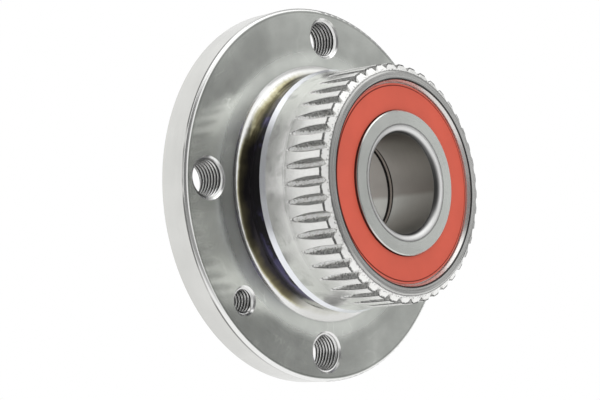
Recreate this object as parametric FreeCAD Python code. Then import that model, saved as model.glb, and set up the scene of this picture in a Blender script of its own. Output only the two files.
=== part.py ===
"""Wheel hub bearing: two rows of balls between a split inner ring and a flanged, toothed outer ring.

All sizes are millimetres. The axis of rotation is Y. The toothed end faces -Y, the wheel side
faces +Y, and +Z passes through one of the wheel-bolt holes. The origin is the centre of the bore,
on the plane where the two inner rings meet. Round pieces are drawn as half sections, with radius
along X and axial place along Y, and are revolved about Y.
"""
import FreeCAD, Part
import math
import os

# Rolling elements
ball_d = 8.73
balls_per_row = 13
row_spacing = 15.0
contact_angle = 38.0
groove_conformity = 0.52
race_gap = 0.08

# Inner rings
bore_d = 30.0
inner_wall = 3.035
inner_shoulder_height = 3.515
inner_lip_height = 0.57
ring_corner = 0.3
lead_in_depth = 2.5
lead_in_length = 1.75

# Clip that holds the two inner rings together
clip_width = 1.5
clip_web = 0.4
clip_lip = 0.35
clip_lip_height = 0.5
clip_recess = 0.25
clip_gap = 0.1
clip_side_gap = 0.2
clip_opening = 7.0

# Ball cages
pocket_gap = 0.135
cage_rim = 1.9
cage_inner_gap = 0.45
cage_outer_gap = 0.4
claw_reach = 2.3
claw_slot_width = 0.9
claw_slot_depth = 1.7

# Seals
seal_gap = 0.5
seal_width = 3.6
seal_recess = 1.0
case_sheet = 0.6
case_disc_gap = 1.6
rubber_skin = 0.6
rubber_edge_gap = 0.15
rubber_border = 1.15
rubber_groove_width = 0.25
rubber_groove_depth = 0.3
rubber_rim_gap = 0.2
lip_gap = 0.05

# Outer ring: raceways and seal seats
outer_shoulder_height = 2.465
outer_lip_height = 0.765
inboard_seat_step = 3.9
outboard_seat_step = 0.8
seat_chamfer_depth = 0.65
seat_chamfer_length = 1.2

# Outer ring: toothed drum
drum_wall = 5.95
drum_taper = 0.35
nose_projection = 0.4
nose_chamfer_depth = 2.55
nose_chamfer_length = 1.6
tooth_bevel_depth = 0.45
tooth_bevel_length = 0.25
collar_height = 1.25
collar_bevel_depth = 0.7
collar_bevel_length = 1.6
collar_run = 7.05
tooth_count = 44
groove_depth = 2.05
groove_floor_half = 0.5
groove_floor_rise = 0.2
groove_flank_angle = 29.5
groove_straight = 3.7
groove_cutter_r = 20.8

# Outer ring: neck, flange and wheel pilot
neck_step = 0.55
neck_fillet = 4.15
neck_undercut = 1.0
neck_length = 8.86
flange_offset = 13.6
flange_thickness = 10.7
flange_margin = 8.9
rim_round = 1.05
rim_chamfer = 0.8
pilot_wall = 1.7
pilot_length = 11.7
pilot_chamfer = 0.6
register_height = 0.5
register_length = 6.0
cap_step = 0.3
cap_bore_start = 1.0
cap_chamfer = 0.6

# Fastening holes in the flange
bolt_circle_d = 98.0
wheel_bolt_d = 12.0
wheel_bolt_count = 4
wheel_bolt_lead = 0.5
locating_screw_d = 8.0
locating_screw_count = 2
locating_screw_start = 45.0
locating_screw_lead = 0.5

# Rolling geometry worked out from the sizes above
ball_r = ball_d / 2
groove_r = groove_conformity * ball_d
groove_shift = groove_r - ball_r - race_gap
shift_r = groove_shift * math.cos(math.radians(contact_angle))
shift_y = groove_shift * math.sin(math.radians(contact_angle))
bore_r = bore_d / 2
inner_groove_r = bore_r + inner_wall
pitch_r = inner_groove_r + groove_r - shift_r
outer_groove_r = pitch_r - shift_r + groove_r
row_y = row_spacing / 2

# Radii that neighbours share
inner_shoulder_r = inner_groove_r + inner_shoulder_height
inner_lip_r = inner_groove_r + inner_lip_height
outer_shoulder_r = outer_groove_r - outer_shoulder_height
outer_lip_r = outer_groove_r - outer_lip_height
inboard_seat_r = outer_lip_r + inboard_seat_step
outboard_seat_r = outer_lip_r + outboard_seat_step
drum_r = inboard_seat_r + drum_wall
tip_r = drum_r - drum_taper
neck_r = drum_r - neck_step
cap_bore_r = outboard_seat_r + cap_step
pilot_r = cap_bore_r + pilot_wall
flange_r = bolt_circle_d / 2 + flange_margin

# Axial places that neighbours share, as distances from the plane between the inner rings
cage_back_y = row_y + ball_r + pocket_gap + cage_rim
seal_back_y = cage_back_y + seal_gap
seal_face_y = seal_back_y + seal_width
ring_face_y = seal_face_y + seal_recess
nose_y = ring_face_y + nose_projection
cap_bore_y = ring_face_y + cap_bore_start
pilot_y = flange_offset + flange_thickness + pilot_length

origin = FreeCAD.Vector(0, 0, 0)
axis = FreeCAD.Vector(0, 1, 0)


def point(r, y):
    return FreeCAD.Vector(r, y, 0)


def line(start, end):
    return Part.LineSegment(point(*start), point(*end)).toShape()


def arc(start, middle, end):
    return Part.Arc(point(*start), point(*middle), point(*end)).toShape()


def outline(*steps):
    """Closed wire through the steps: a pair is a corner, three pairs are an arc."""
    edges = []
    first = steps[0] if isinstance(steps[0][0], float) else steps[0][0]
    here = first
    for step in steps:
        if isinstance(step[0], float):
            if step != here:
                edges.append(line(here, step))
            here = step
        else:
            if step[0] != here:
                edges.append(line(here, step[0]))
            edges.append(arc(*step))
            here = step[2]
    edges.append(line(here, first))
    return Part.Wire(edges)


def rounded(start, end, centre):
    """The arc from start to end about a centre, as the three points that an outline takes."""
    r = start[0] + end[0] - 2 * centre[0]
    y = start[1] + end[1] - 2 * centre[1]
    reach = math.hypot(start[0] - centre[0], start[1] - centre[1]) / math.hypot(r, y)
    return start, (centre[0] + r * reach, centre[1] + y * reach), end


def turned(wire):
    return Part.Face(wire).revolve(origin, axis, 360)


def mirrored(shape, side):
    """The shape as drawn for +Y, or its mirror image for -Y."""
    if side > 0:
        return shape
    return shape.mirror(origin, axis)


def around(shape, count, start=0.0):
    """Copies of a shape spaced evenly about Y, turned from +X towards +Z."""
    copies = []
    for index in range(count):
        copy = shape.copy()
        copy.rotate(origin, axis, -start - 360.0 * index / count)
        copies.append(copy)
    return copies


def groove_arc(centre_r, centre_y, outward, start_r, end_r):
    """Raceway arc in section, from its seal-side shoulder over the bottom to its middle shoulder."""
    start = centre_y + math.sqrt(groove_r ** 2 - (start_r - centre_r) ** 2)
    end = centre_y - math.sqrt(groove_r ** 2 - (end_r - centre_r) ** 2)
    return (start_r, start), (centre_r + outward * groove_r, centre_y), (end_r, end)


def opposite(step):
    """The same arc on the other side of the plane between the inner rings."""
    return tuple((r, -y) for r, y in step)


def ball_centre(side, index):
    turn = math.radians(360.0 * index / balls_per_row)
    return FreeCAD.Vector(pitch_r * math.cos(turn), side * row_y, pitch_r * math.sin(turn))


def ball(side, index):
    return Part.makeSphere(ball_r, ball_centre(side, index))


def inner_ring(side):
    """Inner ring with its raceway, rounded bore mouth and half of the clip's seat."""
    clip_back_r = bore_r + clip_recess + clip_web + clip_gap
    clip_slot_r = clip_back_r + clip_lip_height
    slot_outer_y = clip_width / 2 + clip_side_gap
    slot_inner_y = clip_width / 2 - clip_lip - clip_gap
    lead_turn = math.radians(45)
    lead_mouth = (bore_r + lead_in_depth, ring_face_y)
    lead_middle = (
        bore_r + lead_in_depth * (1 - math.sin(lead_turn)),
        ring_face_y - lead_in_length * (1 - math.cos(lead_turn)),
    )
    lead_end = (bore_r, ring_face_y - lead_in_length)
    raceway = groove_arc(pitch_r + shift_r, row_y - shift_y, -1, inner_shoulder_r, inner_lip_r)
    ring = turned(outline(
        (lead_mouth, lead_middle, lead_end),
        (bore_r, slot_outer_y),
        (clip_slot_r, slot_outer_y),
        (clip_slot_r, slot_inner_y),
        (clip_back_r, slot_inner_y),
        (clip_back_r, 0.0),
        (inner_lip_r - ring_corner, 0.0),
        (inner_lip_r, ring_corner),
        raceway[::-1],
        (inner_shoulder_r, ring_face_y - ring_corner),
        (inner_shoulder_r - ring_corner, ring_face_y),
    ))
    return mirrored(ring, side)


def ring_clip():
    """Spring clip with two hooked edges, open on one side so that it can be snapped in."""
    web_r = bore_r + clip_recess
    lip_root_r = web_r + clip_web
    lip_r = lip_root_r + clip_lip_height - clip_gap / 2
    half = clip_width / 2
    ring = turned(outline(
        (web_r, -half),
        (web_r, half),
        (lip_r, half),
        (lip_r, half - clip_lip),
        (lip_root_r, half - clip_lip),
        (lip_root_r, clip_lip - half),
        (lip_r, clip_lip - half),
        (lip_r, -half),
    ))
    opening = Part.makeBox(
        2 * lip_r, 2 * clip_width, clip_opening,
        FreeCAD.Vector(-2 * lip_r, -clip_width, -clip_opening / 2),
    )
    return ring.cut(opening)


def ball_cage(side):
    """Snap cage: a rim on the seal side, with a pair of claws between each two balls."""
    inner_r = inner_shoulder_r + cage_inner_gap
    outer_r = outer_lip_r - cage_outer_gap
    claw_y = row_y - claw_reach
    blank = turned(outline(
        (inner_r, claw_y),
        (outer_r, claw_y),
        (outer_r, cage_back_y),
        (inner_r, cage_back_y),
    ))
    pocket = Part.makeSphere(ball_r + pocket_gap, ball_centre(1, 0))
    slot = Part.makeBox(
        2 * (outer_r - inner_r), claw_slot_depth, claw_slot_width,
        FreeCAD.Vector(inner_r - (outer_r - inner_r) / 2, claw_y, -claw_slot_width / 2),
    )
    half_step = 180.0 / balls_per_row
    cutters = around(pocket, balls_per_row) + around(slot, balls_per_row, half_step)
    return mirrored(blank.cut(Part.makeCompound(cutters)), side)


def seal_case(side, seat_r):
    """Pressed steel cup that holds the seal in its seat."""
    disc_r = inner_shoulder_r + case_disc_gap
    top_y = seal_face_y - rubber_skin
    cup = turned(outline(
        (disc_r, top_y),
        (seat_r, top_y),
        (seat_r, seal_back_y),
        (seat_r - case_sheet, seal_back_y),
        (seat_r - case_sheet, top_y - case_sheet),
        (disc_r, top_y - case_sheet),
    ))
    return mirrored(cup, side)


def seal_rubber(side, seat_r):
    """Rubber moulded on the cup: a flat face with a border, and two lips on the inner ring."""
    disc_r = inner_shoulder_r + case_disc_gap
    lip_r = inner_shoulder_r + lip_gap
    border_r = seat_r - rubber_border
    rim_r = seat_r - rubber_rim_gap
    skin_y = seal_face_y - rubber_skin
    behind_y = skin_y - case_sheet
    root_y = behind_y - rubber_skin
    step_y = seal_face_y - rubber_groove_depth
    border_y = seal_face_y - rubber_groove_depth / 3
    moulding = turned(outline(
        (inner_shoulder_r + rubber_edge_gap, seal_face_y),
        (border_r, seal_face_y),
        (border_r, step_y),
        (border_r + rubber_groove_width, step_y),
        (border_r + rubber_groove_width, border_y),
        (rim_r - rubber_groove_width, border_y),
        (rim_r, step_y),
        (rim_r, skin_y),
        (disc_r, skin_y),
        (disc_r, behind_y),
        (disc_r + 2 * rubber_skin, behind_y),
        (disc_r + 2 * rubber_skin, root_y),
        (disc_r - rubber_skin / 2, root_y),
        (lip_r, root_y - 2 * rubber_skin),
        (lip_r, root_y - rubber_skin),
        (disc_r - 1.5 * rubber_skin, root_y + rubber_skin / 2),
        (lip_r, skin_y - rubber_skin),
        (lip_r, skin_y - rubber_skin / 2),
        (inner_shoulder_r + rubber_edge_gap, skin_y),
    ))
    return mirrored(moulding, side)


def tooth_groove():
    """Shape swept by the cutter: a straight run through the nose, then an arc up to the surface."""
    floor_r = tip_r - groove_depth
    shoulder_r = floor_r + groove_floor_rise
    top_r = drum_r + collar_height
    top_half = groove_floor_half + (top_r - shoulder_r) * math.tan(math.radians(groove_flank_angle))
    front_length = nose_chamfer_length + tooth_bevel_length
    end_y = groove_straight + front_length - nose_y
    section = Part.Face(Part.makePolygon([
        FreeCAD.Vector(floor_r, end_y, 0),
        FreeCAD.Vector(shoulder_r, end_y, groove_floor_half),
        FreeCAD.Vector(top_r, end_y, top_half),
        FreeCAD.Vector(top_r, end_y, -top_half),
        FreeCAD.Vector(shoulder_r, end_y, -groove_floor_half),
        FreeCAD.Vector(floor_r, end_y, 0),
    ]))
    straight = section.extrude(FreeCAD.Vector(0, -2 * (groove_straight + front_length), 0))
    climb = drum_r + collar_height - floor_r
    swing = math.degrees(math.acos(1 - climb / groove_cutter_r))
    cutter_axis = FreeCAD.Vector(floor_r + groove_cutter_r, end_y, 0)
    run_out = section.revolve(cutter_axis, FreeCAD.Vector(0, 0, -1), swing)
    return straight.fuse(run_out).removeSplitter()


def flange_hole(diameter, lead, angle):
    """Cutter for one through hole with a chamfer at each mouth."""
    start_y = flange_offset
    end_y = flange_offset + flange_thickness
    r = diameter / 2
    mouth_r = r + 2 * lead
    hole = turned(outline(
        (0.0, start_y - lead),
        (mouth_r, start_y - lead),
        (r, start_y + lead),
        (r, end_y - lead),
        (mouth_r, end_y + lead),
        (0.0, end_y + lead),
    ))
    hole.translate(FreeCAD.Vector(bolt_circle_d / 2, 0, 0))
    hole.rotate(origin, axis, -angle)
    return hole


def hub():
    """Outer ring of the bearing, in one forging with the wheel flange, neck and toothed drum."""
    flange_y = flange_offset
    wheel_y = flange_offset + flange_thickness
    collar_y = flange_offset - neck_length
    collar_r = drum_r + collar_height
    bevel_y = collar_y - collar_bevel_length
    tooth_front_y = nose_chamfer_length + tooth_bevel_length - nose_y
    register_r = pilot_r + register_height
    raceway = groove_arc(pitch_r - shift_r, row_y + shift_y, 1, outer_lip_r, outer_shoulder_r)
    body = turned(outline(
        (pilot_r - pilot_chamfer, pilot_y),
        (pilot_r, pilot_y - pilot_chamfer),
        (pilot_r, wheel_y + register_length),
        (register_r, wheel_y + register_length - register_height),
        (register_r, wheel_y),
        (flange_r - rim_chamfer, wheel_y),
        (flange_r, wheel_y - rim_chamfer),
        rounded(
            (flange_r, flange_y + rim_round),
            (flange_r - rim_round, flange_y),
            (flange_r - rim_round, flange_y + rim_round),
        ),
        rounded(
            (neck_r + neck_fillet, flange_y),
            (neck_r, flange_y - neck_fillet),
            (neck_r + neck_fillet, flange_y - neck_fillet),
        ),
        rounded(
            (neck_r, collar_y + neck_undercut),
            (neck_r + neck_undercut, collar_y),
            (neck_r + neck_undercut, collar_y + neck_undercut),
        ),
        (collar_r, collar_y),
        (collar_r - collar_bevel_depth, bevel_y),
        (drum_r, bevel_y - collar_run),
        (tip_r, tooth_front_y),
        (tip_r - tooth_bevel_depth, nose_chamfer_length - nose_y),
        (tip_r - tooth_bevel_depth - nose_chamfer_depth, -nose_y),
        (inboard_seat_r + seat_chamfer_depth, -nose_y),
        (inboard_seat_r, seat_chamfer_length - nose_y),
        (inboard_seat_r, -seal_back_y),
        (outer_lip_r, -seal_back_y),
        opposite(raceway),
        raceway[::-1],
        (outer_lip_r, seal_back_y),
        (outboard_seat_r, seal_back_y),
        (outboard_seat_r, cap_bore_y - cap_step),
        (cap_bore_r, cap_bore_y),
        (cap_bore_r, pilot_y - cap_chamfer),
        (cap_bore_r + cap_chamfer, pilot_y),
    ))
    cutters = around(tooth_groove(), tooth_count, 180.0 / tooth_count)
    for index in range(wheel_bolt_count):
        angle = 360.0 * index / wheel_bolt_count
        cutters.append(flange_hole(wheel_bolt_d, wheel_bolt_lead, angle))
    for index in range(locating_screw_count):
        angle = locating_screw_start + 360.0 * index / locating_screw_count
        cutters.append(flange_hole(locating_screw_d, locating_screw_lead, angle))
    return body.cut(Part.makeCompound(cutters))


def pieces():
    """Every piece of the assembly, by name."""
    made = {
        "hub": hub(),
        "inner_ring_inboard": inner_ring(-1),
        "inner_ring_outboard": inner_ring(1),
        "ring_clip": ring_clip(),
    }
    for name, side, seat_r in (("inboard", -1, inboard_seat_r), ("outboard", 1, outboard_seat_r)):
        made["seal_case_" + name] = seal_case(side, seat_r)
        made["seal_rubber_" + name] = seal_rubber(side, seat_r)
        made["ball_cage_" + name] = ball_cage(side)
        for index in range(balls_per_row):
            made["ball_{}_{:02d}".format(name, index + 1)] = ball(side, index)
    return made


os.makedirs("parts", exist_ok=True)
for name, shape in pieces().items():
    shape.exportStep("parts/" + name + ".step")
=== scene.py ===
"""Wheel hub bearing: the finishes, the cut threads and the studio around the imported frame.

Lengths in the code are millimetres unless a name says otherwise. The axis of the hub is Y,
with the toothed, inboard end towards -Y and the wheel side towards +Y.
"""

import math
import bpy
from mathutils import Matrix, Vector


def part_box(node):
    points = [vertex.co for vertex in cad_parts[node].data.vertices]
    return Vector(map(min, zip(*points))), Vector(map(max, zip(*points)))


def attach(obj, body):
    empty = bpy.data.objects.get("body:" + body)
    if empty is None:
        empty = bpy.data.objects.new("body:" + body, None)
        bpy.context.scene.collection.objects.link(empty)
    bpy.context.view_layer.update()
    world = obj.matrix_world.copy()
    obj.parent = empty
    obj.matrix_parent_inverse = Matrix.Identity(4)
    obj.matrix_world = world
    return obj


bl_info = {
    "name": "Wheel Hub Bearing",
    "version": (1, 0, 0),
    "blender": (4, 5, 0),
    "location": "3D View > Sidebar > Hub Bearing",
    "description": "Dresses the frame of a wheel hub bearing with threads, finishes and a studio",
    "category": "Object",
}

import bpy
from mathutils import Matrix, Vector

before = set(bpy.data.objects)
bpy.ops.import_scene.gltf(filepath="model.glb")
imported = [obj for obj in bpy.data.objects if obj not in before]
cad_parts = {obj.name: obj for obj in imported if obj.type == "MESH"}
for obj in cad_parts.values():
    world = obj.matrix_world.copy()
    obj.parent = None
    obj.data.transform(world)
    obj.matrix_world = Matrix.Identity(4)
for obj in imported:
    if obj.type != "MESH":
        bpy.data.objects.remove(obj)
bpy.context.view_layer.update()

MM = 0.001
SIDES = ("inboard", "outboard")

hub_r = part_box("hub")[1].x / MM
ring_end = -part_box("inner_ring_inboard")[0].y / MM


# Sizes and colours


def length(label, text, default, low=0.0, high=200.0):
    """A size in millimetres that a user can set."""
    return bpy.props.FloatProperty(
        name=label, description=text + ", in millimetres", default=default, min=low, max=high
    )


def amount(label, text, default, low=0.0, high=2.0):
    """A plain number that a user can set."""
    return bpy.props.FloatProperty(name=label, description=text, default=default, min=low, max=high)


def colour(label, text, default):
    """A colour that a user can set, as linear red, green and blue."""
    return bpy.props.FloatVectorProperty(
        name=label, description=text, default=default, size=3, subtype="COLOR", min=0.0, max=1.0
    )


class HubSizes(bpy.types.PropertyGroup):
    """Where the hub's faces lie, for its finish, and the threads cut in its flange."""

    flange_front: length("Flange front", "Place of the flange's inboard face", 13.6)
    flange_back: length("Flange back", "Place of the flange's wheel face", 24.3)
    flange_r: length("Flange radius", "Outer radius of the flange", hub_r)
    rim_chamfer: length("Rim chamfer", "Width of the bright chamfer round the flange", 0.8)
    fillet_edge_r: length("Fillet edge", "Radius where the neck's fillet meets the flange", 39.65)
    collar_y: length("Collar", "Place of the collar's back edge", 4.74)
    collar_r: length("Collar radius", "Outer radius of the bevelled collar", 37.3)
    bevel_width: length("Bevel width", "Width of the collar's bevel along the axis", 1.55)
    drum_r: length("Drum radius", "Radius of the drum behind the teeth", 36.05)
    tip_r: length("Tip radius", "Radius of the teeth at their front", 35.7)
    taper_y: length("Taper", "Place where the drum's taper starts", -3.91, -200.0)
    nose_y: length("Nose", "Place where the teeth's front chamfer starts", -17.55, -200.0)
    nose_step_r: length("Nose step", "Radius where the nose's chamfer meets its dull face", 33.3)
    nose_mouth_r: length("Nose mouth", "Radius of the mouth of the seal's seat", 30.6)
    teeth: amount("Teeth", "Number of teeth round the hub", 44.0, 1.0, 200.0)
    groove_floor_r: length("Groove floor", "Radius of the grooves' floor at their front", 33.65)
    bolt_circle: length("Bolt circle", "Diameter that the tapped holes lie on", 98.0)
    wheel_bolt_r: length("Wheel bolt hole", "Radius of a wheel bolt hole in the frame", 6.0)
    wheel_bolt_pitch: length("Wheel bolt pitch", "Pitch of the wheel bolt thread", 1.25)
    wheel_bolt_depth: length("Wheel bolt thread depth", "Depth of the wheel bolt thread", 0.75)
    wheel_bolt_lead: length("Wheel bolt lead", "Width of the wheel bolt hole's countersink", 0.5)
    locating_r: length("Locating hole", "Radius of a locating screw hole in the frame", 4.0)
    locating_pitch: length("Locating pitch", "Pitch of the locating screw thread", 1.25)
    locating_depth: length("Locating thread depth", "Depth of the locating screw thread", 0.68)
    locating_lead: length("Locating lead", "Width of the locating hole's countersink", 0.5)


class RingSizes(bpy.types.PropertyGroup):
    """Where the faces of the inner rings, the clip and the seals lie, for their finishes."""

    bore_r: length("Bore radius", "Radius of the inner rings' bore", 15.0)
    lead_r: length("Bore mouth radius", "Outer radius of the rounded bore mouth", 17.4)
    lead_y: length("Bore mouth start", "Place where the bore starts to open", 17.3)
    face_r: length("Ring face radius", "Outer radius of an inner ring's end face", 21.4)
    face_y: length("Ring face", "Place of an inner ring's end face", ring_end)
    joint_y: length("Joint line", "Half the width of the dark joint line in the bore", 1.05)
    clip_edge_y: length("Clip edge", "Place where the clip's strip starts to darken", 0.25)
    lip_r: length("Seal lip", "Radius where the seals' rubber darkens at its lip", 22.0)
    step_inboard_r: length("Inboard seal step", "Radius of the step line in the inboard seal", 29.07)
    step_outboard_r: length("Outboard seal step", "Radius of the step line in the outboard seal", 25.97)


class SteelColours(bpy.types.PropertyGroup):
    """Colours of the bright, the tinted and the dulled steel, some of which also paint highlights and
    shade.
    """

    ground: colour("Ground steel", "Flange face, ground and oiled", (0.63, 0.65, 0.615))
    turned: colour("Turned steel", "Rim and pilot, turned bright", (0.66, 0.66, 0.64))
    drum: colour("Drum steel", "Drum and teeth, turned bright", (0.80, 0.80, 0.78))
    # Bright cut steel, which also paints highlights: on the rim's chamfer, at the start of the neck's
    # fillet, in the countersinks and on the bore mouths.
    cut: colour("Cut steel", "Bright edges and chamfers", (0.86, 0.86, 0.85))
    ring: colour("Ring steel", "Inner rings, hardened and ground", (0.68, 0.70, 0.67))
    # Painted shade: the bore darker and browner than the rings' faces.
    bore: colour("Bore steel", "Bore of the inner rings", (0.345, 0.322, 0.298))
    clip: colour("Clip steel", "Middle of the clip between the inner rings", (0.30, 0.26, 0.23))
    sheet: colour("Sheet steel", "Pressed cases of the seals", (0.55, 0.55, 0.54))
    chrome: colour("Chrome steel", "Polished balls", (0.80, 0.80, 0.79))
    # Partly a painted highlight: near white for the chamfer in front of the teeth.
    burnished_highlight: colour("Burnished steel", "Chamfer in front of the teeth", (0.97, 0.97, 0.95))
    # Painted highlight: a bright bluish white for the collar's bevel.
    bevel: colour("Bevel steel", "Bevel behind the drum, finely turned", (0.88, 0.90, 0.95))
    straw: colour("Straw tint", "First temper colour on the neck", (0.44, 0.42, 0.28))
    brown: colour("Brown tint", "Second temper colour on the neck", (0.17, 0.15, 0.085))
    # The dusk and dark tints are partly painted shade at the neck's root.
    dusk: colour("Dusk tint", "Third temper colour on the neck", (0.075, 0.066, 0.045))
    violet: colour("Violet tint", "Patches of the hottest temper colour", (0.085, 0.075, 0.16))
    dark: colour("Dark tint", "Darkest part of the neck", (0.032, 0.029, 0.033))


class SoftColours(bpy.types.PropertyGroup):
    """Colours of the rubber and the plastic."""

    rubber: colour("Seal rubber", "Nitrile rubber of the seals", (0.68, 0.112, 0.068))
    rubber_rim: colour("Seal rim", "Rubber pressed into the seal's seat", (0.70, 0.21, 0.17))
    # Painted shade in the step line and at the lip.
    rubber_dark: colour("Seal rubber edge", "Rubber in the step line", (0.22, 0.035, 0.025))
    cage: colour("Cage plastic", "Glass-filled polyamide of the cages", (0.62, 0.56, 0.42))


class StudioSizes(bpy.types.PropertyGroup):
    """The camera, the lamp, the light all round and the floor."""

    lens: length("Lens", "Focal length on a 36 mm sensor", 90.19, 10.0, 500.0)
    floor_z: length("Floor", "Height of the floor under the axis", -70.0, -500.0, 0.0)
    floor_r: length("Floor radius", "Radius of the round floor", 600.0, 100.0, 5000.0)
    fade_start: length("Fade start", "Radius where the floor starts to fade to white", 90.0)
    fade_end: length("Fade end", "Radius where the floor has faded to white", 420.0, 0.0, 5000.0)
    lamp_size: length("Lamp size", "Side of the square lamp above", 700.0, 10.0, 5000.0)
    lamp_power: amount("Lamp power", "Power of the lamp above, in watts", 0.8, 0.0, 100.0)
    background: amount("Background", "Strength of the white background", 1.0)
    level: amount("Level", "Strength of the soft light all round", 0.92)


# Shader maths


class Value:
    """One number at each point of a surface, which takes part in sums."""

    def __init__(self, nodes, socket):
        self.nodes = nodes
        self.socket = socket

    def maths(self, operation, *others):
        inputs = dict(enumerate((self,) + others))
        return self.nodes.value("Math", {"operation": operation}, inputs)

    def __add__(self, other):
        return self.maths("ADD", other)

    def __sub__(self, other):
        return self.maths("SUBTRACT", other)

    def __rsub__(self, other):
        return self.nodes.value("Math", {"operation": "SUBTRACT"}, {0: other, 1: self})

    def __mul__(self, other):
        return self.maths("MULTIPLY", other)

    def __truediv__(self, other):
        return self.maths("DIVIDE", other)

    def __abs__(self):
        return self.maths("ABSOLUTE")

    def root(self):
        return self.maths("SQRT")

    def sine(self):
        return self.maths("SINE")

    def least(self, other):
        return self.maths("MINIMUM", other)

    def most(self, other):
        return self.maths("MAXIMUM", other)

    def rise(self, start, end):
        """0 before start, 1 after end, smooth between them, also where end is below start."""
        inputs = {"Value": self, "From Min": min(start, end), "From Max": max(start, end)}
        inputs["To Min"] = 0.0 if start < end else 1.0
        inputs["To Max"] = 1.0 - inputs["To Min"]
        return self.nodes.value("MapRange", {"interpolation_type": "SMOOTHSTEP"}, inputs)

    def between(self, low, high, soft):
        """1 from low to high, falling to 0 over soft at each side."""
        return self.rise(low - soft, low) * self.rise(high + soft, high)

    __radd__ = __add__
    __rmul__ = __mul__


class Nodes:
    """Adds nodes to a material's or the world's tree."""

    def __init__(self, tree):
        self.tree = tree
        tree.nodes.clear()

    def node(self, kind, settings=None, inputs=None):
        """A node of that type, with its settings made first and then its sockets' values or links."""
        made = self.tree.nodes.new("ShaderNode" + kind)
        for name, setting in (settings or {}).items():
            if name == "stops":
                ramp = made.color_ramp.elements
                while len(ramp) < len(setting):
                    ramp.new(0.5)
                for element, (position, shade) in zip(ramp, setting):
                    element.position = position
                    element.color = (*shade, 1.0)
            else:
                setattr(made, name, setting)
        for name, given in (inputs or {}).items():
            if isinstance(given, Value):
                self.tree.links.new(given.socket, made.inputs[name])
            elif made.inputs[name].type == "RGBA":
                made.inputs[name].default_value = (*given, 1.0)
            else:
                made.inputs[name].default_value = given
        return made

    def value(self, kind, settings=None, inputs=None, output=0):
        """The same, as one of the node's outputs."""
        return Value(self, self.node(kind, settings, inputs).outputs[output])

    def split(self, vector):
        """The three numbers of a vector."""
        parts = self.node("SeparateXYZ", inputs={0: vector})
        return [Value(self, output) for output in parts.outputs]

    def vector(self, x, y, z):
        return self.value("CombineXYZ", inputs={0: x, 1: y, 2: z})

    def noise(self, at, scale, detail, roughness):
        """Cloudy noise round 0.5 at a vector."""
        inputs = {"Vector": at, "Scale": scale, "Detail": detail, "Roughness": roughness}
        return self.value("TexNoise", {"noise_dimensions": "3D"}, inputs, "Fac")

    def mix(self, mask, first, second):
        """first where the mask is 0 and second where it is 1."""
        settings = {"data_type": "RGBA", "clamp_factor": True}
        return self.value("Mix", settings, {0: mask, 6: first, 7: second}, 2)

    def ramp(self, position, stops):
        return self.value("ValToRGB", {"stops": stops}, {0: position})

    def tint(self, shade, strength):
        """A colour made lighter or darker by a number."""
        grey = self.value("CombineColor", inputs={0: strength, 1: strength, 2: strength})
        settings = {"data_type": "RGBA", "blend_type": "MULTIPLY"}
        return self.value("Mix", settings, {0: 1.0, 6: shade, 7: grey}, 2)

    def bump(self, height, distance, strength):
        """A normal from a height in millimetres times distance."""
        inputs = {"Height": height, "Distance": distance * MM, "Strength": strength}
        return self.value("Bump", inputs=inputs)


class Spot:
    """A point of a piece, in millimetres."""

    def __init__(self, nodes):
        self.nodes = nodes
        metres = nodes.value("TexCoord", output="Object")
        self.x, self.y, self.z = (part * (1 / MM) for part in nodes.split(metres))
        self.at = nodes.vector(self.x, self.y, self.z)

    def noise(self, scale, detail, roughness):
        """Cloudy noise round 0.5."""
        return self.nodes.noise(self.at, scale, detail, roughness)

    def stretched(self, across, along, detail, roughness):
        """Noise round 0.5 with its own scales across and along the axis."""
        at = self.nodes.vector(self.x * across, self.y * along, self.z * across)
        return self.nodes.noise(at, 1.0, detail, roughness)


class RoundSpot(Spot):
    """A point at its radius and turn about the hub's axis."""

    def __init__(self, nodes):
        super().__init__(nodes)
        self.r = (self.x * self.x + self.z * self.z).root()
        self.east = self.x / self.r
        self.north = self.z / self.r

    def banded(self, place, turns, steps, detail, roughness, shift=0.0):
        """Noise round 0.5 in bands round the axis, with turns round it and steps along a place."""
        at = self.nodes.vector(self.east * turns + shift, place * steps, self.north * turns)
        return self.nodes.noise(at, 1.0, detail, roughness)


def new_material(name):
    """An empty material and its nodes."""
    material = bpy.data.materials.new(name)
    material.use_nodes = True
    return material, Nodes(material.node_tree)


def finished(material, nodes, sockets):
    """A material closed with its shader."""
    shader = nodes.value("BsdfPrincipled", inputs=sockets)
    nodes.node("OutputMaterial", inputs={"Surface": shader})
    return material


def dress(node, material):
    """Gives a node of the frame its finish."""
    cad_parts[node].data.materials[0] = material


# Finish of the hub


def hole_distance(x, z, sizes):
    """Distance from the nearest wheel bolt hole's axis and the nearest locating hole's axis."""
    circle_r = sizes.bolt_circle / 2
    beside = ((abs(x) - circle_r) * (abs(x) - circle_r) + z * z).root()
    above = ((abs(z) - circle_r) * (abs(z) - circle_r) + x * x).root()
    along = abs(x + z) * math.sqrt(0.5) - circle_r
    across = (x - z) * math.sqrt(0.5)
    return beside.least(above), (along * along + across * across).root()


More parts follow.
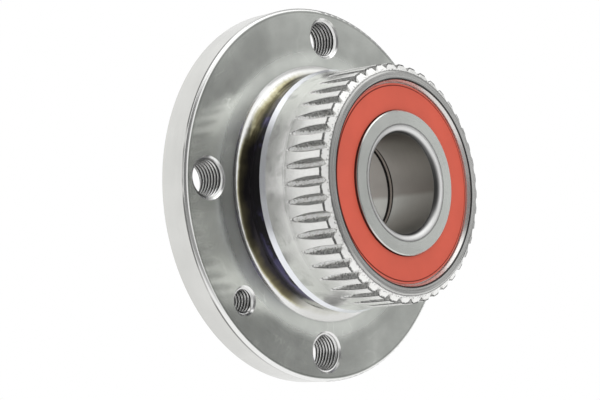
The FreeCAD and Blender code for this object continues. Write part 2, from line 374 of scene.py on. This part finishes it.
class HubSpot(RoundSpot):
    """A point of the hub, with the noises in its steel and masks of 0 to 1 for its faces."""

    def __init__(self, nodes, sizes):
        super().__init__(nodes)
        self.sizes = sizes
        self.clouds = self.noise(0.05, 3.0, 0.55)
        self.stains = self.noise(0.17, 4.0, 0.6)
        self.grain = self.noise(1.7, 5.0, 0.75)
        self.cutter = self.stretched(0.3, 3.0, 3.0, 0.7)
        self.lines = self.banded(self.y + self.r, 1.5, 4.0, 3.0, 0.7)
        self.sweep = self.banded(self.y + self.r, 2.5, 0.12, 3.0, 0.55, 3.0)
        self.mark_faces()
        self.mark_grooves()
        self.mark_nose()

    def mark_faces(self):
        """The flange's front face, its part near the neck, the drum and the neck."""
        sizes, y, r = self.sizes, self.y, self.r
        front = sizes.flange_front
        edge_r = sizes.fillet_edge_r
        self.face = y.between(front - 0.05, front + 0.05, 0.1) * r.rise(edge_r - 0.3, edge_r)
        # The face near the neck, which is painted lighter against the neck's dark reflection, and made
        # rougher.
        self.close = self.face * r.rise(edge_r + 7.35, edge_r + 1.35)
        self.drum = r.rise(sizes.collar_r + 0.9, sizes.collar_r + 0.7)
        self.drum = self.drum * y.rise(sizes.collar_y + 0.1, sizes.collar_y)
        self.neck = y.between(sizes.collar_y + 0.1, front - 0.02, 0.05) * r.rise(edge_r + 0.2, edge_r)

    def mark_grooves(self):
        """The grooves between the teeth: their edges, flanks and floors."""
        sizes, y, r = self.sizes, self.y, self.r
        slope = (sizes.drum_r - sizes.tip_r) / (sizes.taper_y - sizes.nose_y)
        below = (y - sizes.nose_y) * slope + sizes.tip_r - r
        zone = y.between(sizes.nose_y + 0.05, sizes.taper_y, 0.15)
        zone = zone * r.rise(sizes.groove_floor_r - 0.65, sizes.groove_floor_r - 0.25)
        wave = (self.z.maths("ARCTAN2", self.x) * sizes.teeth - math.pi / 2).sine()
        self.outline = zone * below.between(0.08, 0.3, 0.07)
        self.flank = zone * below.rise(0.1, 0.3)
        self.floor = zone * (wave + (self.grain - 0.5) * 1.2).rise(0.55, 0.9)

    def mark_nose(self):
        """The nose in front of the teeth: its dull face and its bright chamfer."""
        sizes = self.sizes
        self.nose = self.y.rise(sizes.nose_y - 0.2, sizes.nose_y - 0.3)
        self.ragged_r = self.r + (self.grain - 0.5) * 0.8
        self.dull = self.nose * self.ragged_r.rise(sizes.nose_step_r + 0.25, sizes.nose_step_r)
        self.strip = self.nose * (1.0 - self.dull)


def shade_flange(spot, colours):
    """Flange, rim and drum, with faint scratches on the face, bright cut steel and a painted highlight
    on the rim's chamfer, painted shade lines beside the rim and round the fillet, and the face painted
    lighter near the neck.
    """
    nodes, sizes, y, r, face = spot.nodes, spot.sizes, spot.y, spot.r, spot.face
    front = sizes.flange_front
    tone = (spot.clouds - 0.5) * 0.95 + (spot.sweep - 0.5) * 0.35
    tone = tone * (face * 0.65 + 0.35) + (spot.lines - 0.5) * (0.14 - face * 0.1) + 1.0
    shade = nodes.mix(face, nodes.mix(spot.drum, colours.turned, colours.drum), colours.ground)
    shade = nodes.tint(shade, tone)
    hairs = spot.stretched(0.06, 1.0, 3.0, 0.5) - 0.5
    hairs = face * abs(hairs).rise(0.004, 0.001) * spot.clouds.rise(0.47, 0.56)
    chamfer_r = sizes.flange_r - sizes.rim_chamfer
    rim = r.rise(chamfer_r - 0.15, chamfer_r)
    # The rim's chamfer: bright cut steel, partly a painted highlight.
    edge = rim * y.between(front - 0.1, front + 0.75, 0.1)
    # A painted shade line on the rim behind the chamfer, on the left side only.
    beside = rim * y.between(front + 0.95, front + 1.35, 0.2)
    beside = beside * spot.east.rise(-0.2, -0.75) * spot.sweep.rise(0.35, 0.5)
    # Painted shade lines just inside the rim and just outside the fillet.
    inner = face * r.between(sizes.flange_r - 1.4, sizes.flange_r - 1.0, 0.2)
    fillet_r = sizes.fillet_edge_r
    inner = inner + face * r.between(fillet_r + 0.05, fillet_r + 0.3, 0.15) * 0.5
    # Painted shade lines, lightened by the bright scratches and by painted light on the face near the
    # neck.
    painted_shade_and_marks = beside * 0.75 + inner * 0.25 - hairs * 0.18 - spot.close * 0.15
    return nodes.tint(nodes.mix(edge, shade, colours.cut), 1.0 - painted_shade_and_marks)


def shade_neck(spot, colours, shade):
    """Neck, from the bright fillet, painted as a highlight, through the temper colours to the dark root,
    which is partly painted shade.
    """
    nodes, sizes, y, east = spot.nodes, spot.sizes, spot.y, spot.east
    arc = (sizes.fillet_edge_r - spot.r) + (sizes.flange_front - y)
    wobble = spot.banded(y, 5.0, 0.15, 4.0, 0.6) - 0.5
    streaks = spot.banded(y, 22.0, 0.25, 2.0, 0.6) - 0.5
    # The colours are pushed darker towards the lower left: partly heat tint, partly painted shade.
    hottest = math.radians(205.0)
    side = (east * math.cos(hottest) + spot.north * math.sin(hottest)).rise(0.6, 0.88)
    side = side * arc.rise(1.2, 3.6)
    heat = arc * (wobble * 1.1 + 1.0) + streaks * 1.2 + wobble * 1.6 + side * 2.9
    # The first stops paint a highlight of bright cut steel at the start of the fillet.
    temper = nodes.ramp(
        heat / 14.0,
        [
            (0.0, colours.cut),
            (0.14, colours.cut),
            (0.26, colours.straw),
            (0.36, colours.brown),
            (0.54, colours.dusk),
            (0.66, colours.dark),
        ],
    )
    violet = arc.rise(7.0, 9.5) * wobble.rise(0.0, 0.08) * (1.0 - east.rise(-0.94, -0.99))
    # At the top and the bottom the colours give way to plain turned steel: painted light.
    painted_light_top_bottom = abs(east).rise(0.5, 0.2) * heat.rise(11.0, 8.0) * 0.8
    temper = nodes.mix(painted_light_top_bottom, nodes.mix(violet, temper, colours.violet), colours.turned)
    return nodes.mix(spot.neck, shade, temper)


def shade_drum(spot, colours, shade):
    """Painted bluish-white highlight on the collar's bevel, the faint line where the drum's taper starts
    and soft dark patches.
    """
    nodes, sizes, y, r = spot.nodes, spot.sizes, spot.y, spot.r
    bevel = y.between(sizes.collar_y - sizes.bevel_width, sizes.collar_y + 0.1, 0.35)
    bevel = bevel * r.between(sizes.collar_r - 0.8, sizes.collar_r + 0.3, 0.2)
    line = y.between(sizes.taper_y + 0.3, sizes.taper_y + 0.5, 0.15)
    line = line * r.between(sizes.drum_r - 0.15, sizes.drum_r + 0.35, 0.1)
    patches = spot.banded(y, 7.0, 0.2, 4.0, 0.6).rise(0.48, 0.66)
    patches = patches * y.between(sizes.taper_y - 0.5, sizes.collar_y - 1.7, 0.8) * spot.drum
    # The bevel painted bright bluish white: a painted highlight.
    shade = nodes.mix(bevel * 0.85, shade, colours.bevel)
    return nodes.tint(shade, 1.0 - line * 0.15 - patches * 0.24)


def shade_grooves(spot, shade):
    """Grooves, painted darker as shade on their flanks and darkest along their edges, with a painted
    highlight along their floors and rough tool marks.
    """
    # Painted highlight along the floors and painted shade along the edges, with grain and tool marks.
    painted_groove_light_and_marks = spot.floor * 0.78 + 0.5 + (spot.grain - 0.5) * 2.4 + (spot.cutter - 0.5) * 0.8
    painted_groove_light_and_marks = painted_groove_light_and_marks - spot.outline * 0.6 - spot.outline * spot.grain.rise(0.58, 0.48) * 0.8
    return spot.nodes.tint(shade, (1.0 - spot.flank) + spot.flank * painted_groove_light_and_marks.most(0.12))


def shade_nose(spot, colours, shade):
    """Nose, with a painted shadow as a dark bar at the end of each tooth, a bright chamfer that is
    partly a painted highlight, a dull face painted darker partly as shade, and painted shade lines at
    the chamfer's step and round the seal's seat.
    """
    nodes, sizes, y, r, nose = spot.nodes, spot.sizes, spot.y, spot.r, spot.nose
    step_r = sizes.nose_step_r
    mouth_r = sizes.nose_mouth_r
    ragged = (spot.grain - 0.5) * 0.9 + (spot.cutter - 0.5) * 0.4
    # Painted shadow: a dark bar where each tooth ends.
    bar = (y + ragged).between(sizes.nose_y - 0.2, sizes.nose_y + 0.15, 0.1)
    bar = bar * r.rise(sizes.tip_r - 0.7, sizes.tip_r - 0.5)
    chips = spot.strip * (spot.grain + r.rise(step_r + 0.6, step_r + 1.3) * 0.1).rise(0.45, 0.4)
    # Painted shade lines at the chamfer's step and round the mouth of the seal's seat.
    step = nose * spot.ragged_r.between(step_r + 0.05, step_r + 0.2, 0.2)
    lip = y.rise(sizes.nose_y - 1.5, sizes.nose_y - 1.7) * r.rise(mouth_r + 0.55, mouth_r + 0.4)
    outside = 1.0 - nose * r.rise(mouth_r + 0.02, mouth_r - 0.05)
    # The dull face is painted darker, partly as shade.
    painted_shade_and_marks = spot.dull * (0.4 + (spot.lines - 0.5) * 1.2) * outside + bar * 0.8 + chips * 0.7 + step * 0.4
    painted_shade_and_marks = painted_shade_and_marks + lip * outside * 0.9
    # The chamfer painted near white: its brighter finish and a painted highlight.
    shade = nodes.mix(spot.strip * 0.9, shade, colours.burnished_highlight)
    return nodes.tint(shade, (1.0 - painted_shade_and_marks).most(0.06))


def shade_holes(spot, colours, shade):
    """Tapped holes, with bright cut steel and a painted highlight in the countersink and painted shade
    on the wall behind the threads.
    """
    sizes, y = spot.sizes, spot.y
    front = sizes.flange_front
    bolt, screw = hole_distance(spot.x, spot.z, sizes)
    bolt = bolt - sizes.wheel_bolt_r
    screw = screw - sizes.locating_r
    # Painted shade on the hole's wall, deeper than the first turns.
    inside = bolt.rise(0.05, 0.0).most(screw.rise(0.05, 0.0)) * y.rise(front + 1.2, front + 1.8)
    # Painted highlight: bright cut steel in the countersink.
    mouth = bolt.rise(0.62, 0.5).most(screw.rise(0.62, 0.5))
    mouth = mouth * y.between(front + 0.02, front + 0.7, 0.03)
    return spot.nodes.tint(spot.nodes.mix(mouth, shade, colours.cut), 1.0 - inside * 0.85)


def hub_material(sizes, colours):
    """Turned and ground steel, with temper colours on the neck and rough cut grooves."""
    material, nodes = new_material("hub_turned_steel")
    spot = HubSpot(nodes, sizes)
    face, flank, lines = spot.face, spot.flank, spot.lines
    shade = shade_flange(spot, colours)
    shade = shade_neck(spot, colours, shade)
    shade = shade_drum(spot, colours, shade)
    shade = shade_grooves(spot, shade)
    shade = shade_nose(spot, colours, shade)
    shade = shade_holes(spot, colours, shade)
    metallic = 0.92 - face * 0.05 - spot.drum * 0.14 - spot.strip * 0.45 - spot.floor * 0.2
    roughness = 0.19 - face * 0.06 - spot.neck * 0.1 + lines * 0.06 + flank * 0.2
    roughness = roughness + (spot.stains - 0.5) * 0.08 + spot.close * 0.26
    height = lines * (0.01 - face * 0.008) + spot.grain * (flank * 0.5)
    sockets = {
        "Base Color": shade,
        "Metallic": metallic,
        "Roughness": roughness,
        "Normal": nodes.bump(height, 1.0, 0.6),
    }
    return finished(material, nodes, sockets)


# Finishes of the other pieces


def thread_material(sizes, colours):
    """Cut thread, with a painted highlight on the crests and the first turns and painted shade in the
    roots.
    """
    material, nodes = new_material("thread_cut_steel")
    spot = Spot(nodes)
    grain = spot.noise(1.5, 3.0, 0.6)
    # Painted highlight on the first turns and the crests; elsewhere the thread stays dark as painted
    # shade.
    bright = spot.y.rise(sizes.flange_front + 1.3, sizes.flange_front + 0.9) * 0.85
    for away, hole_r, depth in zip(
        hole_distance(spot.x, spot.z, sizes),
        (sizes.wheel_bolt_r, sizes.locating_r),
        (sizes.wheel_bolt_depth, sizes.locating_depth),
    ):
        crest = away.rise(hole_r - 0.3, hole_r - depth + 0.05) * away.rise(hole_r + 2.0, hole_r + 1.0)
        bright = bright.most(crest)
    sockets = {
        "Base Color": nodes.tint(colours.cut, bright * 0.9 + 0.06 + grain * 0.08),
        "Metallic": 1.0,
        "Roughness": grain * 0.15 + 0.15,
        "Normal": nodes.bump(grain, 0.01, 0.3),
    }
    return finished(material, nodes, sockets)


def ring_material(rings, colours):
    """Hardened bearing steel, fine ground, with a painted highlight and painted dark reflection on its
    rounded mouth, painted shade on its side by the seal, and a duller bore painted darker and browner as
    shade and lighter in its lower half as painted light.
    """
    material, nodes = new_material("ring_ground_steel")
    spot = RoundSpot(nodes)
    r = spot.r
    end = abs(spot.y)
    grain = spot.banded(r + spot.y, 2.0, 7.0, 3.0, 0.7)
    clouds = spot.noise(0.12, 3.0, 0.5)
    speckle = spot.noise(2.5, 3.0, 0.6)
    bore = r.rise(rings.bore_r + 0.3, rings.bore_r + 0.05)
    joint = bore * end.rise(rings.joint_y + 0.2, rings.joint_y)
    # The rounded mouth: bright cut steel as a painted highlight.
    lead = r.between(rings.bore_r + 0.05, rings.lead_r, 0.1) * end.rise(rings.lead_y - 0.3, rings.lead_y)
    # Painted dark reflection at the mouth's inner edge, and painted grey at its outer edge.
    dark = lead * r.rise(rings.bore_r + 0.95, rings.bore_r + 0.3) * 0.8
    dark = dark + lead * r.rise(rings.lead_r - 0.6, rings.lead_r) * 0.5
    mouth = r.between(rings.lead_r - 0.05, rings.lead_r + 0.2, 0.1)
    mouth = mouth * end.rise(rings.face_y - 0.22, rings.face_y - 0.12)
    # Painted shade on the ring's side wall, in the gap beside the seal's lip.
    skirt = r.rise(rings.face_r - 0.1, rings.face_r + 0.05)
    skirt = skirt * end.rise(rings.face_y - 0.27, rings.face_y - 0.47)
    # The bore's lower half painted lighter: painted light.
    painted_light_below = bore * (spot.north + (clouds - 0.5) * 0.12).rise(-0.02, -0.14) * 0.5
    bore_painted_shade = nodes.mix(painted_light_below, colours.bore, colours.ring)
    shade = nodes.mix(lead, nodes.mix(bore, colours.ring, bore_painted_shade), colours.cut)
    painted_shade_and_marks = dark + mouth * speckle * 0.6 + skirt * 0.8 + joint * 0.85
    tone = clouds * 0.25 + grain * 0.2 + 0.78 - lead * 0.16
    sockets = {
        "Base Color": nodes.tint(shade, tone * (1.0 - painted_shade_and_marks)),
        "Metallic": 0.93,
        "Roughness": grain * 0.1 + bore * 0.1 + lead * 0.12 + 0.18,
        "Normal": nodes.bump(grain, 0.01, 0.4),
    }
    return finished(material, nodes, sockets)


def steel_material(name, shade, metallic, rough, edge_y=None):
    """Steel with a fine grain, for the balls, the sheet and the clip, blackened past edge_y."""
    material, nodes = new_material(name)
    spot = Spot(nodes)
    grain = spot.noise(1.2, 4.0, 0.6)
    tone = grain * 0.3 + 0.85
    if edge_y is not None:
        tone = (1.0 - abs(spot.y).rise(edge_y, edge_y + 0.25) * 0.93) * tone
    sockets = {
        "Base Color": nodes.tint(shade, tone),
        "Metallic": metallic,
        "Roughness": grain * 0.12 + rough,
        "Normal": nodes.bump(grain, 0.01, 0.3),
    }
    return finished(material, nodes, sockets)


def rubber_material(rings, colours):
    """Moulded nitrile rubber with a fine matt skin, with painted shade in its step line and at its lip
    beside the ring.
    """
    material, nodes = new_material("seal_moulded_rubber")
    spot = RoundSpot(nodes)
    skin = spot.noise(3.0, 4.0, 0.6)
    clouds = spot.noise(0.1, 2.0, 0.5)
    inboard = spot.y.rise(1.0, -1.0)
    step_r = inboard * rings.step_inboard_r + (1.0 - inboard) * rings.step_outboard_r
    # Painted shade in the step line and at the lip beside the ring.
    line = (spot.r - step_r).between(-0.12, 0.12, 0.1)
    border = (spot.r - step_r).rise(0.3, 0.5)
    lip = spot.r.rise(rings.lip_r, rings.lip_r - 0.2)
    shade = nodes.mix(border * 0.6, colours.rubber, colours.rubber_rim)
    shade = nodes.mix(line * 0.8 + lip * 0.5, shade, colours.rubber_dark)
    sockets = {
        "Base Color": nodes.tint(shade, clouds * 0.2 + skin * 0.12 + 0.84),
        "Roughness": skin * 0.1 + 0.5,
        "Specular IOR Level": 0.3,
        "Normal": nodes.bump(skin, 0.012, 0.4),
    }
    return finished(material, nodes, sockets)


def cage_material(colours):
    """Moulded polyamide with short glass fibres."""
    material, nodes = new_material("cage_moulded_plastic")
    fibres = Spot(nodes).stretched(4.0, 0.8, 4.0, 0.7)
    sockets = {
        "Base Color": nodes.tint(colours.cage, fibres * 0.3 + 0.85),
        "Roughness": fibres * 0.2 + 0.4,
        "Normal": nodes.bump(fibres, 0.02, 0.3),
    }
    return finished(material, nodes, sockets)


# Threads


def deselect_all():
    bpy.ops.object.select_all(action="DESELECT")


def only(piece):
    """Makes one object the selected and active one."""
    deselect_all()
    piece.select_set(True)
    bpy.context.view_layer.objects.active = piece


def settle(piece):
    """Puts a piece's place into its mesh, so that its object sits at the origin, unturned."""
    only(piece)
    bpy.ops.object.transform_apply(location=True, rotation=True, scale=True)


def add_modifier(piece, kind, settings):
    """Adds one modifier and applies it."""
    only(piece)
    modifier = piece.modifiers.new(kind.title(), kind)
    for name, setting in settings.items():
        setattr(modifier, name, setting)
    bpy.ops.object.modifier_apply(modifier=modifier.name)


def ride_hub(piece, name, material):
    """Names a finished piece, gives it its finish and sets it on the hub."""
    piece.name = name
    piece.data.name = name
    piece.data.materials.clear()
    piece.data.materials.append(material)
    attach(piece, "hub")


def thread_profile(root_r, crest_r, pitch, place):
    """The outline of a thread's ridge, wide at its root and narrow at its crest."""
    root_width = 0.94
    crest_share = 0.18
    middle_r = (root_r + crest_r) / 2
    bpy.ops.mesh.primitive_plane_add(size=1.0, location=(0, 0, 0))
    ridge = bpy.context.active_object
    bpy.ops.object.mode_set(mode="EDIT")
    bpy.ops.transform.resize(value=((root_r - crest_r) * MM, pitch * root_width * MM, 1.0))
    bpy.ops.transform.translate(value=(middle_r * MM, place * MM, 0.0))
    bpy.ops.mesh.select_all(action="DESELECT")
    bpy.ops.object.mode_set(mode="OBJECT")
    for vertex in ridge.data.vertices:
        vertex.select = vertex.co.x < middle_r * MM
    bpy.ops.object.mode_set(mode="EDIT")
    crest_place = (crest_r * MM, place * MM, 0.0)
    bpy.ops.transform.resize(value=(1.0, crest_share, 1.0), center_override=crest_place)
    bpy.ops.mesh.select_all(action="SELECT")
    bpy.ops.mesh.delete(type="ONLY_FACE")
    bpy.ops.object.mode_set(mode="OBJECT")
    return ridge


def trim_ends(ridge, low, high):
    """Cuts a ridge off flat, just inside both faces of the flange."""
    inset = 0.02
    only(ridge)
    bpy.ops.object.mode_set(mode="EDIT")
    for place, side in ((low, 1), (high, -1)):
        bpy.ops.mesh.select_all(action="SELECT")
        bpy.ops.mesh.bisect(
            plane_co=(0, (place + side * inset) * MM, 0),
            plane_no=(0, -side, 0),
            use_fill=True,
            clear_outer=True,
        )
    bpy.ops.mesh.select_all(action="SELECT")
    bpy.ops.mesh.normals_make_consistent(inside=False)
    bpy.ops.object.mode_set(mode="OBJECT")


def countersink(ridge, root_r, lead, low, high):
    """Cuts a steep cone out of both ends of a ridge."""
    steepness = 2.5
    outward = 1.0
    inward = 1.4
    for place, side in ((low, -1), (high, 1)):
        bpy.ops.mesh.primitive_cone_add(
            vertices=64,
            radius1=(root_r + (lead + outward) * steepness) * MM,
            radius2=(root_r + (lead - inward) * steepness) * MM,
            depth=(outward + inward) * MM,
            location=(0, (place - side * (inward - outward) / 2) * MM, 0),
            rotation=(side * math.pi / 2, 0, 0),
        )
        cone = bpy.context.active_object
        cut = {"operation": "DIFFERENCE", "object": cone, "solver": "EXACT"}
        add_modifier(ridge, "BOOLEAN", cut)
        bpy.data.objects.remove(cone)


def cut_thread(hole_r, depth, pitch, lead, low, high):
    """The ridge of an internal thread round the Y axis, cut off at both faces and countersunk."""
    bite = 0.06
    steps = 40
    root_r = hole_r + bite
    ridge = thread_profile(root_r, hole_r - depth, pitch, low - pitch)
    winding = {
        "axis": "Y",
        "angle": 2 * math.pi,
        "screw_offset": pitch * MM,
        "iterations": math.ceil((high - low) / pitch) + 2,
        "steps": steps,
        "render_steps": steps,
        "use_merge_vertices": False,
        "use_normal_calculate": True,
    }
    add_modifier(ridge, "SCREW", winding)
    trim_ends(ridge, low, high)
    countersink(ridge, root_r, lead, low, high)
    return ridge


def copy_to_holes(ridge, places, sizes, material):
    """Copies of a thread, each with its own mesh and start, at their places on the bolt circle."""
    start_turn = 1.9
    radius = sizes.bolt_circle / 2
    for index, (name, turn) in enumerate(places.items()):
        copy = ridge.copy()
        copy.data = ridge.data.copy()
        bpy.context.scene.collection.objects.link(copy)
        angle = math.radians(turn)
        copy.rotation_euler = (0, index * start_turn, 0)
        copy.location = (radius * math.cos(angle) * MM, 0, radius * math.sin(angle) * MM)
        settle(copy)
        ride_hub(copy, name, material)
    bpy.data.objects.remove(ridge)


# Studio


def build_world(scene, studio):
    """White all round. Mirror rays also see a room, made of patches at a heading and a height.

    The room has a grey card, a dark door behind the camera, a dark wall and a bright roof.
    Headings are degrees from +X towards +Y, and heights are degrees over the horizon.
    """
    world = bpy.data.worlds.new("studio")
    scene.world = world
    world.use_nodes = True
    nodes = Nodes(world.node_tree)
    x, y, z = nodes.split(nodes.value("TexCoord", output="Generated"))
    heading = y.maths("ARCTAN2", x) * math.degrees(1.0)
    height = z.maths("ARCSINE") * math.degrees(1.0)
    card = heading.rise(-60.0, -52.0) * heading.rise(-34.0, -46.0) * height.rise(36.0, 18.0)
    card = card * (0.92 - height.rise(11.5, 14.5) * 0.5)
    door = heading.rise(-82.0, -116.0).most(heading.rise(160.0, 174.0))
    door = door * height.between(-22.0, 44.0, 22.0) * 0.88
    wall = heading.between(-16.0, 38.0, 14.0) * (height.between(-6.0, 14.0, 8.0) * 0.2 + 0.62)
    roof = height.rise(20.0, 38.0) * heading.between(-72.0, -20.0, 14.0) * 0.3
    white = 1.02 - card - door - wall + roof
    camera = nodes.value("LightPath", output="Is Camera Ray")
    glossy = nodes.value("LightPath", output="Is Glossy Ray")
    through = nodes.value("LightPath", output="Is Transmission Ray")
    mirror = glossy.most(through)
    strength = mirror * white + (1.0 - mirror) * studio.level
    strength = strength * (1.0 - camera) + camera * studio.background
    background = nodes.value("Background", inputs={"Color": (1, 1, 1), "Strength": strength})
    nodes.node("OutputWorld", inputs={"Surface": background})


def build_floor(studio):
    """A pale floor, which fades to white away from the part.

    Mirror rays see it white, and darker towards the camera.
    """
    deselect_all()
    bpy.ops.mesh.primitive_circle_add(
        vertices=96,
        radius=studio.floor_r * MM,
        fill_type="NGON",
        location=(0, 0, studio.floor_z * MM),
    )
    floor = bpy.context.active_object
    floor.name = "studio_floor"
    material, nodes = new_material("pale_floor")
    spot = Spot(nodes)
    x, y = spot.x, spot.y
    away = (x * x + y * y).root().rise(studio.fade_start, studio.fade_end)
    glossy = nodes.value("LightPath", output="Is Glossy Ray")
    towards_camera = x * -0.72 - y * 0.69
    near = towards_camera.rise(45.0, 105.0) * x.rise(0.0, -35.0)
    shine = {"Color": (1, 1, 1), "Strength": 1.0 - glossy * near * 0.72}
    matt = nodes.value("BsdfDiffuse", inputs={"Color": (0.93, 0.93, 0.93)})
    white = nodes.value("Emission", inputs=shine)
    mixed = nodes.value("MixShader", inputs={0: away.most(glossy), 1: matt, 2: white})
    nodes.node("OutputMaterial", inputs={"Surface": mixed})
    floor.data.materials.append(material)
    settle(floor)


def build_lamp(studio):
    """A soft box above the part, with its place in metres."""
    place = Vector((-0.15, -0.25, 0.75))
    data = bpy.data.lights.new("lamp_above", "AREA")
    data.size = studio.lamp_size * MM
    data.energy = studio.lamp_power
    lamp = bpy.data.objects.new("lamp_above", data)
    bpy.context.scene.collection.objects.link(lamp)
    lamp.location = place
    lamp.rotation_euler = (-place).to_track_quat("-Z", "Y").to_euler()


def build_camera(scene, studio):
    """The camera at the photograph's angle, with its place in metres."""
    place = Vector((-0.3367, -0.3017, -0.0621))
    right = Vector((0.6965, -0.7175, -0.0059))
    up = Vector((-0.0886, -0.0942, 0.9916))
    ahead = Vector((0.7121, 0.6901, 0.1292))
    data = bpy.data.cameras.new("studio_camera")
    data.lens = studio.lens
    data.sensor_width = 36.0
    camera = bpy.data.objects.new("studio_camera", data)
    scene.collection.objects.link(camera)
    turned = Matrix((right, up, -ahead)).transposed().to_4x4()
    camera.matrix_world = Matrix.Translation(place) @ turned
    scene.camera = camera


# Operators


class HUB_OT_finish_hub(bpy.types.Operator):
    """Gives the hub its turned, ground and heat-tinted steel"""

    bl_idname = "hub.finish_hub"
    bl_label = "Finish the hub"

    def execute(self, context):
        scene = context.scene
        dress("hub", hub_material(scene.hub_sizes, scene.hub_steel))
        return {"FINISHED"}


class HUB_OT_cut_threads(bpy.types.Operator):
    """Cuts the threads of the wheel bolt holes and the locating screw holes"""

    bl_idname = "hub.cut_threads"
    bl_label = "Cut the threads"

    def execute(self, context):
        sizes = context.scene.hub_sizes
        material = thread_material(sizes, context.scene.hub_steel)
        wheel_bolts = {
            "wheel_bolt_thread_right": 0,
            "wheel_bolt_thread_top": 90,
            "wheel_bolt_thread_left": 180,
            "wheel_bolt_thread_bottom": 270,
        }
        locating_screws = {"locating_thread_upper": 45, "locating_thread_lower": 225}
        for hole, places in (("wheel_bolt", wheel_bolts), ("locating", locating_screws)):
            hole_sizes = [getattr(sizes, f"{hole}_{name}") for name in ("r", "depth", "pitch", "lead")]
            ridge = cut_thread(*hole_sizes, sizes.flange_front, sizes.flange_back)
            copy_to_holes(ridge, places, sizes, material)
        return {"FINISHED"}


class HUB_OT_finish_rings(bpy.types.Operator):
    """Gives the inner rings their ground steel and the clip between them its dark spring steel"""

    bl_idname = "hub.finish_rings"
    bl_label = "Finish the inner rings"

    def execute(self, context):
        rings = context.scene.hub_rings
        colours = context.scene.hub_steel
        material = ring_material(rings, colours)
        for side in SIDES:
            dress(f"inner_ring_{side}", material)
        clip = steel_material("clip_spring_steel", colours.clip, 0.9, 0.35, rings.clip_edge_y)
        dress("ring_clip", clip)
        return {"FINISHED"}


class HUB_OT_finish_seals(bpy.types.Operator):
    """Gives the seals their rubber and pressed sheet"""

    bl_idname = "hub.finish_seals"
    bl_label = "Finish the seals"

    def execute(self, context):
        scene = context.scene
        rubber = rubber_material(scene.hub_rings, scene.hub_soft)
        sheet = steel_material("seal_pressed_sheet", scene.hub_steel.sheet, 1.0, 0.3)
        for side in SIDES:
            dress(f"seal_rubber_{side}", rubber)
            dress(f"seal_case_{side}", sheet)
        return {"FINISHED"}


class HUB_OT_finish_balls(bpy.types.Operator):
    """Gives the balls and their cages chrome steel and moulded plastic"""

    bl_idname = "hub.finish_balls"
    bl_label = "Finish the balls and cages"

    def execute(self, context):
        scene = context.scene
        chrome = steel_material("ball_chrome_steel", scene.hub_steel.chrome, 1.0, 0.04)
        plastic = cage_material(scene.hub_soft)
        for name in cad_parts:
            if name.startswith("ball_cage"):
                dress(name, plastic)
            elif name.startswith("ball_"):
                dress(name, chrome)
        return {"FINISHED"}


class HUB_OT_build_stage(bpy.types.Operator):
    """Sets up the white studio, the floor, the lamp and the camera"""

    bl_idname = "hub.build_stage"
    bl_label = "Build the stage"

    def execute(self, context):
        scene = context.scene
        studio = scene.hub_studio
        scene.view_settings.view_transform = "Standard"
        build_world(scene, studio)
        build_floor(studio)
        build_lamp(studio)
        build_camera(scene, studio)
        return {"FINISHED"}


class HUB_PT_panel(bpy.types.Panel):
    """Lists the steps that dress the hub bearing"""

    bl_idname = "HUB_PT_panel"
    bl_label = "Hub Bearing"
    bl_space_type = "VIEW_3D"
    bl_region_type = "UI"
    bl_category = "Hub Bearing"

    def draw(self, context):
        for operator in OPERATORS:
            self.layout.operator(operator.bl_idname)


OPERATORS = (
    HUB_OT_finish_hub,
    HUB_OT_cut_threads,
    HUB_OT_finish_rings,
    HUB_OT_finish_seals,
    HUB_OT_finish_balls,
    HUB_OT_build_stage,
)
GROUPS = {
    "hub_sizes": HubSizes,
    "hub_rings": RingSizes,
    "hub_steel": SteelColours,
    "hub_soft": SoftColours,
    "hub_studio": StudioSizes,
}


def register():
    for group in GROUPS.values():
        bpy.utils.register_class(group)
    for operator in OPERATORS:
        bpy.utils.register_class(operator)
    bpy.utils.register_class(HUB_PT_panel)
    for name, group in GROUPS.items():
        setattr(bpy.types.Scene, name, bpy.props.PointerProperty(type=group))


def unregister():
    for name in GROUPS:
        delattr(bpy.types.Scene, name)
    bpy.utils.unregister_class(HUB_PT_panel)
    for operator in reversed(OPERATORS):
        bpy.utils.unregister_class(operator)
    for group in reversed(list(GROUPS.values())):
        bpy.utils.unregister_class(group)


def main():
    register()
    bpy.ops.hub.finish_hub()
    bpy.ops.hub.cut_threads()
    bpy.ops.hub.finish_rings()
    bpy.ops.hub.finish_seals()
    bpy.ops.hub.finish_balls()
    bpy.ops.hub.build_stage()


if __name__ == "__main__":
    main()
